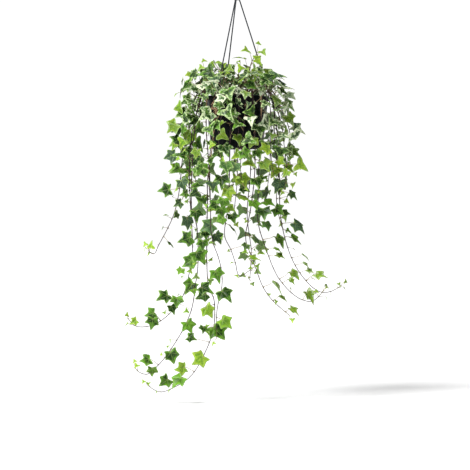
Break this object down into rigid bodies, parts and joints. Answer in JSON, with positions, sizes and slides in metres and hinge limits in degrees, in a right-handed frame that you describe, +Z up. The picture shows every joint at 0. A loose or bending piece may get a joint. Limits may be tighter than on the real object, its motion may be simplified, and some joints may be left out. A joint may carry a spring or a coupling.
{
  "type": "potted english ivy",
  "caption": "Bushy variegated english ivy whose leafy vines trail far below a small round plastic hanging pot held by a hook and strands.",
  "frame": {"origin": "the point at the top of the hook's bend, on its inner side, where the hook bears on what it hangs from", "axes": "+Z up, -Y toward the viewer of the plant's front, +X to that viewer's right"},
  "size_m": [0.5125, 0.2957, 0.9525],
  "materials": {
    "pot_plastic": "satin",
    "hanger_plastic": "satin",
    "potting_soil": "matte",
    "ivy": "satin"
  },
  "bodies": {
    "root": {"pot": "pot_plastic", "potting_soil": "potting_soil", "hanger_hook": "hanger_plastic", "hanger_strand_right": "hanger_plastic", "hanger_strand_back": "hanger_plastic", "hanger_strand_left": "hanger_plastic", "vine_left_1": "ivy", "vine_left_2": "ivy", "vine_left_3": "ivy", "vine_left_4": "ivy", "vine_left_5": "ivy", "vine_left_6": "ivy", "vine_front_1": "ivy", "vine_front_2": "ivy", "vine_front_3": "ivy", "vine_front_4": "ivy", "vine_front_5": "ivy", "vine_front_6": "ivy", "vine_right_1": "ivy", "vine_right_2": "ivy", "vine_right_3": "ivy", "vine_right_4": "ivy", "vine_right_5": "ivy", "vine_rear_1": "ivy", "vine_rear_2": "ivy", "vine_rear_3": "ivy", "vine_rear_4": "ivy", "vine_rear_5": "ivy", "vine_rear_6": "ivy", "shoot_left": "ivy", "shoot_far_left": "ivy", "shoot_right": "ivy", "shoot_far_right": "ivy", "shoot_centre": "ivy", "shoot_front_left": "ivy", "shoot_front_right": "ivy", "shoot_rear_left": "ivy", "shoot_rear_right": "ivy"}
  },
  "joints": []
}
